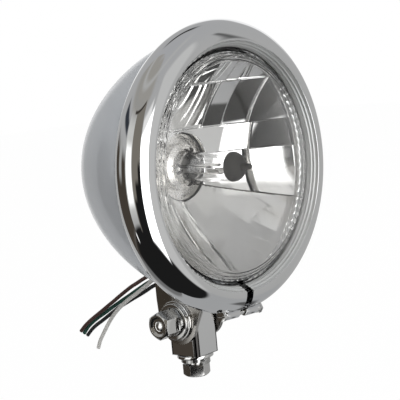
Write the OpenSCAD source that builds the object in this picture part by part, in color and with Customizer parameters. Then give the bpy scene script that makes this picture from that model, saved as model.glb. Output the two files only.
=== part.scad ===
// Round motorcycle headlight on a tilting bottom mount.
// Millimetres, +Z up. The lens faces -Y. The origin is the centre of the underside of the
// mount block, on the axis of the mount bolt.
// The lamp's own pieces are drawn along the lamp axis: a depth is measured backwards from
// the widest plane of the trim ring, so the lens has negative depths.

/* [Lamp] */
// Outside diameter of the trim ring
ring_d = 165; // [162:0.5:172]
// Height of the underside of the shell's rim above the underside of the mount block
stand_h = 36.1; // [34:0.1:44]
// Distance from the pivot forward to the widest plane of the trim ring
ring_fwd = 39.5; // [38:0.5:44]

/* [Trim ring] */
// Thickness of the ring's sheet
ring_wall = 1.2; // [1:0.1:1.8]
// Depth of the ring ahead of its widest plane
ring_front = 11.2; // [10:0.2:13]
// Depth of the ring behind its widest plane
ring_back = 12.4; // [11:0.2:14]
// Width of the ring seen from the front, from its outside to its front lip
ring_w = 12.3; // [11:0.1:13.5]
// Clearance between the foot of the ring's recess and the raised lens face
bezel_gap = 0.8; // [0.5:0.1:1.6]
// Radius of the bead on the front lip
bead_r = 0.8; // [0.5:0.1:1]
// Width of the gap in the split ring
ring_gap = 5.6; // [4:0.2:8]
// Turn of the gap away from six o'clock, in degrees
ring_turn = 3.3; // [0:0.1:6]
// Length of each clamp lug
lug_l = 11.5; // [10:0.5:13]
// Radius of each clamp lug
lug_r = 2.6; // [2.5:0.1:2.8]
// Distance of the clamp screw beyond the ring's outside radius
screw_out = 0; // [-0.3:0.1:1]
// Distance of the clamp screw ahead of the widest plane
screw_fwd = 3; // [2:0.5:4]

/* [Shell] */
// Inset of the shell's rim from the outside of the trim ring
shell_inset = 7.1; // [6.5:0.1:7.6]
// Length of the domed part of the shell
dome_l = 84; // [80:1:92]
// Wall of the shell
shell_wall = 1.2; // [0.8:0.1:1.6]
// Width of the flat inturned rim that the lamp unit rests on
rim_w = 3.4; // [3:0.1:4]
// Depth of the front of that rim
rim_depth = 1.6; // [1.6:0.1:2.4]

/* [Lens and reflector] */
// Inset of the lamp unit's flange from the outside of the shell
unit_inset = 2.4; // [1.9:0.1:3]
// Width of the lamp unit's flange round the raised lens face
flange_w = 6.2; // [5.8:0.1:7]
// Rise of the lens dome above its edge
dome_rise = 16.5; // [15.5:0.5:18]
// Thickness of the lens glass
lens_wall = 3; // [2.5:0.1:3.4]
// Thickness of the lens flange
flange_t = 2.6; // [2.2:0.1:2.8]
// Thickness of the seal between lens and reflector
seal_t = 1.2; // [1:0.1:1.4]
// Thickness of the reflector's sheet
mirror_t = 1.6; // [1.4:0.1:2]
// Inset of the reflector's mouth from the edge of the lens face
mouth_inset = 3.8; // [3.3:0.1:4.8]
// Depth of the bulb opening
hole_depth = 36; // [35:0.2:37.4]
// Diameter of the bulb opening
hole_d = 40; // [38.8:0.2:40.4]
// Height of the steps between the reflector's cells
step_h = 0.7; // [0.5:0.1:0.8]
// Distances of the upright steps from the middle of the reflector
column_x = 16; // [15:0.5:17]
// Distance from the first upright step to the next ones
column_pitch = 12.4; // [11:0.2:13]
// Height of the level step that closes the bulb's own row
row_low = 5; // [4:0.5:7]
// Height of the next level step up
row_mid = 21; // [19.6:0.2:23]
// Height of the topmost level step
row_high = 47; // [45:0.5:49]
// Slope of the two lower steps, in degrees
cutoff_angle = 17; // [14:0.5:19]

/* [Bulb] */
// Diameter of the bulb's glass
bulb_d = 16.8; // [16:0.1:17.4]
// Length of the glass ahead of the bulb's flange
bulb_l = 49; // [47:0.5:50]
// Diameter of the bulb's metal cap behind its flange
cap_d = 38; // [37:0.2:38.6]
// How far the bulb's flange stands out from the cap
cap_rim = 2.5; // [2:0.1:2.8]
// Width of a terminal blade
blade_w = 7.8; // [7.4:0.1:8]
// Length of the bulb plug
plug_l = 25; // [23:0.5:27]

/* [Mount] */
// Width of the mount block between the ears
block_w = 20; // [18:0.5:21]
// Depth of the mount block from front to back
block_d = 22; // [20:0.5:23]
// Radius of the block's upright edges
block_r = 3; // [2:0.2:4]
// Radius over the block's top, at the front and the back
block_top_r = 6; // [6:0.5:9]
// Bevel and rounding of the block's other edges
block_edge = 0.6; // [0.4:0.1:1]
// Height of the pivot above the underside of the block
pivot_h = 22.5; // [22:0.25:24.5]
// Nominal diameter of the pivot and mount bolts
bolt_d = 10; // [9.6:0.1:10.4]
// Thickness of the bracket's sheet
ear_t = 2.5; // [2:0.1:3]
// Radius of the round end of each ear
ear_r = 14.5; // [13:0.5:15]
// Width across the flats of the pivot's bolt head and nut
hex_af = 14.5; // [14:0.5:16]
// Width across the flats of the mount bolt's head
mount_hex_af = 14; // [13.5:0.5:16]
// Outside diameter of the large flat washers
washer_d = 21.4; // [20.4:0.2:22]
// How much larger in radius the flat washers beside the ears are
ear_washer_more = 1.2; // [0:0.2:1.4]
// Thickness of the large flat washers
washer_t = 2; // [1.6:0.1:2.2]
// Outside diameter of the large spring washers
spring_d = 17.4; // [17:0.1:18.4]
// Width and height of the spring washers' wire
spring_wire = 2.2; // [2:0.1:2.5]
// Rise of a loose spring washer from end to end
spring_rise = 2; // [1.4:0.1:2.4]
// Height of the mount bolt's head
head_h = 7.2; // [6.4:0.2:8]
// Height of the pivot bolt's head
pivot_head_h = 6.4; // [5.6:0.2:7.2]
// Height of the cap nut's hexagon
cap_nut_h = 10; // [9:0.2:11]
// Diameter of the screws that hold the bracket to the shell
saddle_screw_d = 6; // [5:0.2:6.4]
// Width across the flats of those screws and their nuts
saddle_hex_af = 10; // [9:0.5:10]

/* [Leads] */
// Diameter of each lead
lead_d = 2.4; // [2:0.1:2.5]
// Diameter of the sleeve inside the shell
sleeve_d = 6; // [5:0.2:6.6]
// Diameter of the grommet's flanges
grommet_d = 14.8; // [14:0.2:15]
// Diameter of the grommet's neck, where it fills the shell's hole
neck_d = 12; // [11:0.2:12.2]

/* [Hidden] */
$fn = 96;

// Clearances
fit = 0.1;      // between pieces of the lamp that are pressed or clamped together
run = 0.05;     // round the pivot bolt and beside the ears, which turn
slip = 0.15;    // round screws in their holes

// Radii
ring_r = ring_d / 2;
lip_r = ring_r - ring_w;
shell_r0 = ring_r - shell_inset;
unit_r = shell_r0 - unit_inset;
face_r = unit_r - flange_w;
bezel_r = face_r + bezel_gap;
mouth_r = face_r - mouth_inset;
hole_r = hole_d / 2;
bolt_r = bolt_d / 2;
washer_r = washer_d / 2;

// Height of the lamp axis
axis_h = stand_h + shell_r0;

// Depths of the lamp unit, from the shell's rim forwards
mirror_back = rim_depth - fit;
mirror_front = mirror_back - mirror_t;
flange_back = mirror_front - seal_t;
flange_front = flange_back - flange_t;
face_depth = flange_front - 0.9;
seat_depth = flange_front - fit;

// Bulb
flange_z = hole_depth + 4;
cap_end = flange_z + 10;
plug_z = cap_end + 1;
focal = (mouth_r * mouth_r - hole_r * hole_r) / (4 * (hole_depth - mirror_front));
apex = hole_depth + hole_r * hole_r / (4 * focal);

// Block and bracket
block_top = pivot_h + block_d / 2;
grommet_depth = ring_back + 0.531 * dome_l;
ear_in = block_w / 2 + run;
ear_out = ear_in + ear_t;
saddle_front = 15;
saddle_back = grommet_depth - 8;
ear_back = 15.3;
cut_front = saddle_front - 5;
cut_back = ring_fwd + ear_back + 2;
screw_depths = [22, grommet_depth - 15];
grommet_reach = 5.4;
grommet_inner = shell_wall + 3;

function unit(v) = v / norm(v);
function arc(c, r, a, b, n) =
    [for (i = [0:n]) let (t = a + (b - a) * i / n) c + r * [cos(t), sin(t)]];

// Radius of the shell at a depth, wall is how far inside the outer face
function dome_r(depth, wall = 0) =
    let (u = max(0, min(1, (depth - ring_back) / (dome_l - wall))))
    (shell_r0 - wall) * pow(max(0, 1 - pow(u, 1.44)), 0.5236);
// Lean of the shell's surface at a depth, in degrees
function dome_lean(depth) = atan((dome_r(depth - 0.5) - dome_r(depth + 0.5)) / 1);
function dome_points(wall) =
    [for (i = [0:30]) let (u = 1 - pow(1 - i / 30, 2))
        [dome_r(ring_back + u * (dome_l - wall), wall), ring_back + u * (dome_l - wall)]];

// Lamp axis: local Z runs backwards, local Y runs down
module on_axis() {
    translate([0, -ring_fwd, axis_h]) rotate([-90, 0, 0]) children();
}
// A revolved piece from points given as radius and depth
module turned(points) {
    on_axis() rotate_extrude() polygon(points);
}
// A frame on the underside of the shell, with Z pointing out of it
module under_shell(depth) {
    on_axis() translate([0, dome_r(depth), depth])
        rotate([dome_lean(depth) - 90, 0, 0]) children();
}
module hexagon(af, h) {
    cylinder(d = af / cos(30), h = h, $fn = 6);
}
// Hexagon head or nut with its outer corners turned off
module turned_hexagon(af, h) {
    intersection() {
        hexagon(af, h);
        union() {
            cylinder(d = 2 * af, h = h - af / 12);
            translate([0, 0, h - af / 12]) cylinder(d1 = af * 1.155, d2 = af * 0.92, h = af / 12);
        }
    }
}
module rounded_rect(w, d, r) {
    square([w - 2 * r, d], center = true);
    square([w, d - 2 * r], center = true);
    for (sx = [-1, 1], sy = [-1, 1])
        translate([sx * (w / 2 - r), sy * (d / 2 - r)]) circle(r);
}
// Split washer wound into one rising turn, from z = 0 up
module spring_washer(outer_d, wire, rise) {
    n = 36;
    turn = 350;
    r_out = outer_d / 2;
    r_in = r_out - wire;
    function corner(i, r, h) =
        let (a = turn * i / n) [r * cos(a), r * sin(a), h + rise * i / n];
    points = [for (i = [0:n])
        each [corner(i, r_in, 0), corner(i, r_out, 0), corner(i, r_out, wire), corner(i, r_in, wire)]];
    sides = [for (i = [0:n - 1], k = [0:3])
        let (a = 4 * i, m = (k + 1) % 4) [a + k, a + m, a + 4 + m, a + 4 + k]];
    polyhedron(points, concat([[3, 2, 1, 0]], sides, [[4 * n, 4 * n + 1, 4 * n + 2, 4 * n + 3]]),
        convexity = 4);
}
// Tube of n sides along a route of points
module swept(route, d, n = 8) {
    last = len(route) - 1;
    function along(i) = unit(route[min(last, i + 1)] - route[max(0, i - 1)]);
    points = [for (i = [0:last]) let (t = along(i), u = unit(cross(t, [1, 0, 0])), w = cross(t, u))
        each [for (k = [0:n - 1]) route[i] + d / 2 * (cos(360 * k / n) * u + sin(360 * k / n) * w)]];
    sides = [for (i = [0:last - 1], k = [0:n - 1])
        let (a = n * i, m = (k + 1) % n) [a + k, a + n + k, a + n + m, a + m]];
    polyhedron(points, concat([[for (k = [0:n - 1]) k]], sides,
        [[for (k = [n - 1:-1:0]) n * last + k]]), convexity = 6);
}

// Outline of the block from a side: bevelled at the foot, rounded at the top
module block_side(w, r) {
    polygon([[block_edge - w / 2, 0], [w / 2 - block_edge, 0], [w / 2, block_edge],
        [w / 2, block_top - r], [-w / 2, block_top - r], [-w / 2, block_edge]]);
    translate([r - w / 2, block_top - r - 0.01]) square([w - 2 * r, r + 0.01]);
    for (s = [-1, 1]) translate([s * (w / 2 - r), block_top - r]) circle(r);
}
// Mount block, threaded from below and bored across for the pivot
module mount_block() {
    color("gainsboro")
    difference() {
        intersection() {
            linear_extrude(block_top) rounded_rect(block_w, block_d, block_r);
            translate([-block_w, 0, 0]) rotate([90, 0, 90])
                linear_extrude(2 * block_w) block_side(block_d, block_top_r);
            translate([0, block_d, 0]) rotate([90, 0, 0])
                linear_extrude(2 * block_d) block_side(block_w, block_edge);
        }
        translate([-block_w, 0, pivot_h]) rotate([0, 90, 0])
            cylinder(r = bolt_r + run, h = 2 * block_w);
        translate([0, 0, -1]) cylinder(r = bolt_r + run, h = thread_l + 1);
    }
}
thread_l = pivot_h - bolt_r - 3;
under_washer = -washer_t - 0.02;
under_spring = under_washer - spring_wire - spring_rise;

module mount_bolt() {
    color("silver") {
        translate([0, 0, under_spring]) rotate([180, 0, 15]) turned_hexagon(mount_hex_af, head_h);
        translate([0, 0, under_spring - 0.5]) cylinder(r = bolt_r, h = thread_l - 0.5 - under_spring);
    }
}
module mount_flat_washer() {
    color("silver")
    translate([0, 0, under_washer])
        difference() {
            cylinder(d = washer_d + 0.4, h = washer_t);
            translate([0, 0, -1]) cylinder(r = bolt_r + slip, h = washer_t + 2);
        }
}
module mount_spring_washer() {
    color("darkgray")
    translate([0, 0, under_spring]) rotate([0, 0, 250])
        spring_washer(spring_d, spring_wire, spring_rise);
}

// Pivot hardware, along X
module pivot_bolt() {
    color("silver")
    translate([ear_out + run + washer_t, 0, pivot_h]) rotate([0, 90, 0]) {
        turned_hexagon(hex_af, pivot_head_h);
        translate([0, 0, -pivot_grip]) cylinder(r = bolt_r, h = pivot_grip + 1);
    }
}
nut_x = ear_out + run + 2 * washer_t + spring_wire + spring_rise / 4;
pivot_grip = ear_out + run + washer_t + nut_x + cap_nut_h - 3;
// The nut's closed end is dished, with a low boss in the middle
dish_r = 0.4 * hex_af;
dish_h = 1.2;
boss_r = 2.4;
boss_h = 0.7;
module pivot_cap_nut() {
    color("silver")
    translate([-nut_x, 0, pivot_h]) rotate([0, -90, 0])
        difference() {
            turned_hexagon(hex_af, cap_nut_h);
            translate([0, 0, cap_nut_h]) rotate_extrude()
                polygon([[0, boss_h - dish_h], [boss_r, boss_h - dish_h - 0.3], [boss_r + 0.6, -dish_h],
                    [dish_r - dish_h, -dish_h], [dish_r, 0], [dish_r, 1], [0, 1]]);
            translate([0, 0, -1]) cylinder(r = bolt_r + run, h = cap_nut_h - 1.5);
        }
}
module pivot_flat_washers() {
    large = washer_r + ear_washer_more;
    color("silver")
    // side, place in the stack, radius
    for (w = [[-1, 0, large], [-1, 1, washer_r], [1, 0, large]])
        translate([w[0] * (ear_out + run + w[1] * (washer_t + 0.01)), 0, pivot_h])
            rotate([0, w[0] * 90, 0]) difference() {
                cylinder(r = w[2], h = washer_t);
                translate([0, 0, -1]) cylinder(r = bolt_r + slip, h = washer_t + 2);
            }
}
module pivot_spring_washer() {
    color("darkgray")
    translate([-(ear_out + run + 2 * washer_t + 0.02), 0, pivot_h]) rotate([0, -90, 0])
        spring_washer(spring_d, spring_wire, spring_rise / 4 - 0.02);
}

// Bracket: a saddle pressed to the shell's curve, with two ears
function saddle_points(gap, t) = concat(
    [for (i = [0:12]) let (d = saddle_front + (saddle_back - saddle_front) * i / 12)
        [dome_r(d) + gap, d]],
    [for (i = [12:-1:0]) let (d = saddle_front + (saddle_back - saddle_front) * i / 12)
        [dome_r(d) + gap + t, d]]);
module ear_outline() {
    circle(ear_r);
    top = axis_h - dome_r(ring_fwd + ear_back) - pivot_h + ear_t;
    polygon([[ear_r, 0], [ear_back, ear_r * 0.8], [ear_back, top], [saddle_front - ring_fwd, top],
        [saddle_front - ring_fwd, 17], [-ear_r * 0.97, -ear_r * 0.23]]);
}
module bracket() {
    color("dimgray")
    difference() {
        union() {
            intersection() {
                turned(saddle_points(fit, ear_t));
                translate([-ear_out, -ring_fwd, pivot_h])
                    cube([2 * ear_out, 2 * ring_fwd, axis_h - pivot_h]);
            }
            for (side = [-1, 1])
                translate([side > 0 ? ear_in : -ear_out, 0, pivot_h])
                    rotate([90, 0, 90]) linear_extrude(ear_t) ear_outline();
        }
        // what would reach into the shell
        turned(concat([[0, cut_front]], [for (i = [0:24])
            let (d = cut_front + (cut_back - cut_front) * i / 24)
                [dome_r(d) + fit, d]], [[0, cut_back]]));
        translate([-2 * ear_out, 0, pivot_h]) rotate([0, 90, 0])
            cylinder(r = bolt_r + run, h = 4 * ear_out);
        for (d = screw_depths) under_shell(d) translate([0, 0, -2])
            cylinder(d = saddle_screw_d + 2 * slip, h = 10);
    }
}
saddle_head_z = fit + ear_t + 0.2;
saddle_head_h = 4;
saddle_nut_h = 5;
module bracket_screws() {
    color("silver")
    for (d = screw_depths) under_shell(d) {
        translate([0, 0, saddle_head_z]) turned_hexagon(saddle_hex_af, saddle_head_h);
        translate([0, 0, -shell_wall - saddle_nut_h - 1])
            cylinder(d = saddle_screw_d, h = saddle_head_z + shell_wall + saddle_nut_h + 2);
    }
}
module bracket_nuts() {
    color("silver")
    for (d = screw_depths) under_shell(d) translate([0, 0, -shell_wall - 0.4]) rotate([180, 0, 0])
        difference() {
            turned_hexagon(saddle_hex_af, saddle_nut_h);
            translate([0, 0, -1]) cylinder(d = saddle_screw_d + 2 * run, h = saddle_nut_h + 2);
        }
}

// Shell: a spun bucket with an inturned flat rim
module shell() {
    color("lightsteelblue")
    difference() {
        turned(concat(
            [[shell_r0 - rim_w, rim_depth], [shell_r0 - edge_r, rim_depth]],
            arc([shell_r0 - edge_r, rim_depth + edge_r], edge_r, -75, 0, 5),
            dome_points(0),
            [for (i = [30:-1:0]) dome_points(shell_wall)[i]],
            [[shell_r0 - shell_wall, rim_depth + shell_wall], [shell_r0 - rim_w, rim_depth + shell_wall]]));
        for (d = screw_depths) under_shell(d) translate([0, 0, -6])
            cylinder(d = saddle_screw_d + 2 * slip, h = 10);
        under_shell(grommet_depth) translate([0, 0, -6]) cylinder(d = neck_d + 2 * fit, h = 10);
    }
}
edge_r = 0.8;
module wire_grommet() {
    r = grommet_d / 2;
    color("black")
    under_shell(grommet_depth) rotate_extrude()
        polygon([[0, -grommet_inner], [r - 0.4, -grommet_inner], [r, 0.5 - grommet_inner],
            [r, -shell_wall - 0.8], [neck_d / 2, -shell_wall - 0.8], [neck_d / 2, slip], [r, slip],
            [r, 1.6], [r - 0.4, 2.1], [r - 1.2, 2.4], [r - 2.2, grommet_reach], [0, grommet_reach]]);
}

// Where the leads leave, in the part's own frame
lean = dome_lean(grommet_depth);
out = [0, sin(lean), -cos(lean)];
across = [0, cos(lean), sin(lean)];
exit_point = [0, grommet_depth - ring_fwd, axis_h - dome_r(grommet_depth)] + grommet_reach * out;
inner_point = exit_point - (grommet_reach + grommet_inner) * out;
function start(side, level) = exit_point + [1.4 * side, 0, 0] + 1.4 * level * across;

// Routes of the four leads, as they lie
brown_route = [[1.3, 24, 46.5], [1.1, 28.5, 45.6], [0.6, 33.5, 44.4], [0.2, 38.5, 42.1], [0, 43.5, 39.5],
    [0, 49, 36.8], [0, 54.5, 33.6], [0, 60.5, 30], [0, 66, 26.5], [0, 72, 22.9], [0, 78, 19.2],
    [0, 84, 15.6], [0, 90, 11.9], [0, 95.5, 8], [0, 100, 4]];
green_route = [[1.6, 22.5, 43.6], [2, 27, 42.5], [2.5, 32, 41.4], [2.5, 37, 39.4], [2.5, 42.5, 36.6],
    [2.5, 48, 33.7], [2.5, 54, 30.4], [2.5, 60, 27.3], [2.5, 66, 24.1], [2.5, 72, 20.8],
    [2.5, 78, 17.4], [2.5, 84, 14.2], [2.5, 90, 10.6], [2.5, 95.5, 6.6], [2.5, 100, 2]];
black_route = [[-1.3, 22.5, 42], [-1, 26.5, 39.8], [-0.6, 31, 37.8], [-0.5, 36.5, 34.9], [-0.5, 42, 32.2],
    [-0.5, 48, 29.4], [-0.5, 54, 26.5], [-0.5, 60, 23.6], [-0.5, 66, 20.2], [-0.5, 72, 16.6],
    [-0.5, 78, 13], [-0.5, 84, 9.6], [-0.5, 89, 6.1], [-0.5, 93.5, 2]];
white_route = [[-2.6, 24.6, 44.8], [-3.8, 27.5, 42.2], [-4.8, 31.5, 39.3], [-5, 36.5, 36.2], [-5, 42, 33],
    [-5, 47, 30.2], [-5, 51.5, 27.3], [-5, 56, 24.1], [-5, 60.5, 20.4], [-5, 65, 16],
    [-5, 69, 11.4], [-5, 73, 6.4], [-5, 77, 1], [-5, 79.5, -4]];

module lead(side, level, route) {
    first = start(side, level);
    swept(concat([first, first + 2 * out], route), lead_d);
}
module lead_brown() { color("saddlebrown") lead(1, 1, brown_route); }
module lead_green() { color("darkgreen") lead(1, -1, green_route); }
module lead_black() { color("black") lead(-1, -1, black_route); }
module lead_white() { color("white") lead(-1, 1, white_route); }

// The sleeve drops from under the plug to the grommet. Each pair is its share of the way
// back and of the way up between the two.
sleeve_shares = [[1, 0.88], [0.84, 0.75], [0.55, 0.62], [0.18, 0.49], [-0.14, 0.36], [-0.28, 0.22]];
module harness_sleeve() {
    outlet = [0, plug_z + plug_l - outlet_back - ring_fwd, axis_h - plug_under];
    way = outlet - inner_point;
    color("dimgray")
    swept(concat([outlet, outlet - [0, 0, 2]],
        [for (share = sleeve_shares) inner_point + [0, share[0] * way[1], share[1] * way[2]]],
        [inner_point - 4 * out, inner_point]), sleeve_d);
}

// Trim ring: one rolled sheet, split at the bottom, drawn up by a screw
shell_rear = shell_r0 + fit + ring_wall;
hoop_r = ((ring_r - shell_rear) * (ring_r - shell_rear) + ring_back * ring_back)
    / (2 * (ring_r - shell_rear));
rear_angle = asin(ring_back / hoop_r);
function rear_curve(wall) = arc([ring_r - hoop_r, 0], hoop_r - wall, rear_angle, 0, 12);
function front_curve(wall) = [for (i = [1:14]) let (t = 90 * i / 14)
    [lip_r + (ring_r - lip_r - wall) * cos(t), -(ring_front - wall) * sin(t)]];
ring_points = concat(
    rear_curve(0), front_curve(0),
    arc([lip_r - bead_r, -ring_front], bead_r, 0, -180, 8),
    [[lip_r - 2 * bead_r, -ring_front + 1], [bezel_r, seat_depth - 2.5], [bezel_r, seat_depth],
     [bezel_r + 3.2, seat_depth], [bezel_r + 3.2, seat_depth - ring_wall],
     [bezel_r + ring_wall, seat_depth - ring_wall - 1.6],
     [lip_r - 2 * bead_r + ring_wall, -ring_front + 1.6]],
    [for (i = [14:-1:1]) front_curve(ring_wall)[i - 1]],
    [for (i = [12:-1:0]) rear_curve(ring_wall)[i]]);
lug_x = ring_gap / 2;
clamp_y = ring_r + screw_out;
module ring_frame() {
    on_axis() rotate([0, 0, ring_turn]) children();
}
module lug(side) {
    translate([side > 0 ? lug_x : -lug_x - lug_l, clamp_y, -screw_fwd]) {
        rotate([0, 90, 0]) cylinder(r = lug_r, h = lug_l);
        translate([0, -4, -lug_r]) cube([lug_l, 4, 2 * lug_r]);
    }
}
module trim_ring() {
    color("gainsboro")
    difference() {
        union() {
            turned(ring_points);
            ring_frame() difference() {
                for (side = [-1, 1]) lug(side);
                translate([0, 0, -20]) cylinder(r = ring_r - ring_wall, h = 40);
            }
        }
        ring_frame() translate([-lug_x, 0, -2 * ring_front]) cube([ring_gap, 2 * ring_r, 4 * ring_front]);
        ring_frame() translate([-30, clamp_y, -screw_fwd]) rotate([0, 90, 0])
            cylinder(d = clamp_screw_d + 2 * slip, h = 60);
        // seats for the screw's head and its nut
        for (side = [-1, 1]) ring_frame()
            translate([side > 0 ? lug_x + lug_l : -lug_x - lug_l - 8, clamp_y, -screw_fwd])
                rotate([0, 90, 0]) cylinder(r = lug_r + 0.7, h = 8);
    }
}
clamp_screw_d = 3.2;
clamp_head_d = 5.6;
clamp_head_h = 2.4;
clamp_slot_w = 1;
clamp_slot_h = 1.2;
clamp_nut_af = 5.6;
clamp_nut_h = 2.6;
module clamp_screw() {
    color("silver")
    ring_frame() translate([-lug_x - lug_l, clamp_y, -screw_fwd]) rotate([0, 90, 0])
        difference() {
            union() {
                translate([0, 0, -clamp_head_h]) cylinder(d = clamp_head_d, h = clamp_head_h);
                translate([0, 0, -0.5])
                    cylinder(d = clamp_screw_d, h = 2 * lug_l + ring_gap + clamp_nut_h + 1.4);
            }
            translate([-clamp_head_d, -clamp_slot_w / 2, -clamp_head_h - 1])
                cube([2 * clamp_head_d, clamp_slot_w, clamp_slot_h + 1]);
        }
}
module clamp_nut() {
    color("silver")
    ring_frame() translate([lug_x + lug_l + 0.02, clamp_y, -screw_fwd]) rotate([0, 90, 0])
        difference() {
            hexagon(clamp_nut_af, clamp_nut_h);
            translate([0, 0, -1]) cylinder(d = clamp_screw_d + 2 * run, h = clamp_nut_h + 2);
        }
}
// Spring clips between the lamp unit's edge and the inside of the ring
module unit_clips() {
    color("silver")
    for (turn = [60, 120, 240, 300])
        on_axis() rotate([0, 0, turn + 90 - clip_span / 2]) rotate_extrude(angle = clip_span)
            polygon([[unit_r + 0.2, flange_front + 0.2], [unit_r + 0.8, flange_front + 0.2],
                [unit_r + 2.3, rim_depth - 1.1], [clip_out, clip_front], [clip_out + 0.7, clip_front + 0.3],
                [unit_r + 2.8, rim_depth - 0.3], [unit_r + 1.6, rim_depth - 0.3]]);
}
clip_out = ring_r - ring_wall - 3.1;
clip_front = -5.8;
clip_span = 12;

// Lens: a domed glass with a flange behind the ring
glass_r = (face_r * face_r + dome_rise * dome_rise) / (2 * dome_rise);
function dome_arc(r, wall) =
    let (c = face_depth - dome_rise + glass_r, g = glass_r - wall)
    [for (i = [0:16]) let (q = r * i / 16) [q, c - sqrt(g * g - q * q)]];
module lens() {
    color("aliceblue", 0.35)
    turned(concat(
        dome_arc(face_r, 0),
        [[face_r, flange_front], [unit_r, flange_front], [unit_r, flange_back],
         [mouth_r + 1, flange_back]],
        [for (i = [16:-1:0]) dome_arc(mouth_r + 0.4, lens_wall)[i]]));
}
module lens_seal() {
    color("black")
    turned([[mouth_r + 2, flange_back + 0.02], [unit_r - 1, flange_back + 0.02],
        [unit_r - 1, mirror_front - 0.02], [mouth_r + 2, mirror_front - 0.02]]);
}

// Reflector: one bowl pressed in cells, each a patch of the same paraboloid set a step
// deeper or shallower than its neighbours
function bowl(r, set = 0) = apex + set - r * r / (4 * focal);
// A thin bowl moved back by set, from the bulb opening to past the mouth
module bowl_skin(set) {
    n = 20;
    function radius(i) = hole_r + (mouth_r + 0.6 - hole_r) * i / n;
    rotate_extrude()
        polygon(concat([for (i = [0:n]) [radius(i), bowl(radius(i), set)]],
            [for (i = [n:-1:0]) [radius(i), bowl(radius(i), set) + mirror_t + 1]]));
}
// One cell of the bowl: a rectangle across the lamp, in x and in height
module cell(x0, x1, z0, z1, set) {
    intersection() {
        bowl_skin(set);
        translate([x0, -z1, -20]) cube([x1 - x0, z1 - z0, 80]);
    }
}
column_2 = column_x + column_pitch;
column_3 = column_2 + column_pitch;
far = mouth_r + 2;
lower_start = 7.5;
// The lower field, under two planes that fall away from the bulb
module lower_field() {
    drop = lower_start + far * tan(cutoff_angle);
    translate([0, 0, -30]) linear_extrude(100)
        polygon([[-far, drop], [0, lower_start], [far, drop], [far, far], [-far, far]]);
}
module reflector_cells() {
    for (side = [0, 1]) mirror([side, 0, 0]) {
        // top row
        cell(0, 0.6 * column_x, row_high, far, 2 * step_h);
        cell(0.6 * column_x, column_x + 3, row_high, far, 0);
        cell(column_x + 3, column_2 - 1.5, row_high, far, step_h);
        cell(column_2 - 1.5, far, row_high, far, 0.4 * step_h);
        // columns above the bulb
        cell(0, column_x, row_mid, row_high, step_h);
        cell(column_x, column_2, row_mid, row_high, 0);
        cell(column_2, column_3, row_mid, row_high, step_h);
        cell(column_3, far, row_mid, row_high, 0);
        // the bulb's own row, and the row just under it
        cell(0, column_3 + 3, row_low, row_mid, 0);
        cell(column_3 + 3, far, row_low, row_mid, step_h);
        difference() {
            union() {
                cell(0, column_3 + 1.4, -far, row_low, step_h);
                cell(column_3 + 1.4, far, -far, row_low, 0);
            }
            lower_field();
        }
    }
    intersection() {
        bowl_skin(0);
        lower_field();
    }
}
module reflector() {
    color("silver")
    on_axis() {
        difference() {
            reflector_cells();
            translate([0, 0, mirror_front - 20]) cylinder(r = 2 * mouth_r, h = 20);
        }
        // flange at the mouth
        rotate_extrude() polygon([[mouth_r - 0.6, mirror_front], [unit_r, mirror_front],
            [unit_r, mirror_back], [mouth_r - 0.6, mirror_back]]);
        // neck behind the bulb opening, with the collar that carries the dust boot
        rotate_extrude() polygon([[hole_r - 0.4, bowl(hole_r, 1)],
            [hole_r + mirror_t, bowl(hole_r + mirror_t, 1)], [hole_r + mirror_t, flange_z - fit],
            [hole_r - 1.4, flange_z - fit]]);
        rotate_extrude() polygon([[collar_r - mirror_t, bowl(collar_r, 1.4)],
            [collar_r, bowl(collar_r, 1.4)], [collar_r, flange_z + 3],
            [collar_r - mirror_t, flange_z + 3]]);
    }
}
collar_room = 8.6;
collar_r = cap_d / 2 + collar_room;

// Bulb: quartz envelope, coils, dip shield, cap, blades
pip_l = 6;          // the drawn-off pip at the tip
pip_r = 1.9;
tip_l = 6.5;        // length of the rounded tip
quartz_t = 1.1;
socket_l = 7;       // depth of the cap's socket round the glass
cap_flange_t = 1.2;
disc_r = 5;          // disc that carries the coils' posts
disc_back = 6;
base_back = 4;       // front of the cap's solid part
coil_r = 0.8;
coil_l = 4.8;
wire_r = 0.45;
module bulb_glass() {
    r = bulb_d / 2;
    tip = flange_z - bulb_l;
    bottom = flange_z - base_back - 2 * fit;
    color("white", 0.5)
    turned(concat(
        [[0, tip - pip_l], [pip_r - 0.8, tip - pip_l], [pip_r - 0.2, tip + 1 - pip_l], [pip_r, tip - 1]],
        [for (i = [1:10]) let (t = 90 * i / 10) [max(pip_r, r * sin(t)), tip + tip_l * (1 - cos(t))]],
        [[r, bottom], [r - quartz_t, bottom]],
        [for (i = [10:-1:1]) let (t = 90 * i / 10)
            [(r - quartz_t) * sin(t), tip + tip_l - (tip_l - quartz_t) * cos(t)]],
        [[0, tip + quartz_t]]));
}
module bulb_filaments() {
    color("silver")
    on_axis() {
        // high beam coil on the axis, low beam coil ahead of it and a little higher:
        // its height, its distance from the flange, and that of its posts from the middle
        for (coil = [[0, 23.5, 3.2], [-1.2, 31, 2.4]])
            translate([0, coil[0], flange_z - coil[1]]) {
                translate([0, 0, -coil_l / 2]) cylinder(r = coil_r, h = coil_l, $fn = 24);
                for (end = [-1, 1]) {
                    translate([end > 0 ? 0 : -coil[2], -wire_r, end * coil_l / 2 - wire_r])
                        cube([coil[2], 2 * wire_r, 2 * wire_r]);
                    translate([end * coil[2], 0, end * coil_l / 2])
                        cylinder(r = wire_r, h = coil[1] - end * coil_l / 2 - disc_back + 1, $fn = 24);
                }
            }
        translate([0, 0, flange_z - disc_back]) cylinder(r = disc_r, h = disc_back - base_back);
    }
}
shield_r = 4.2;
shield_t = 0.8;
shield_l = 7.5;
shield_fwd = 34;
stalk_w = 1.2;
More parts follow.
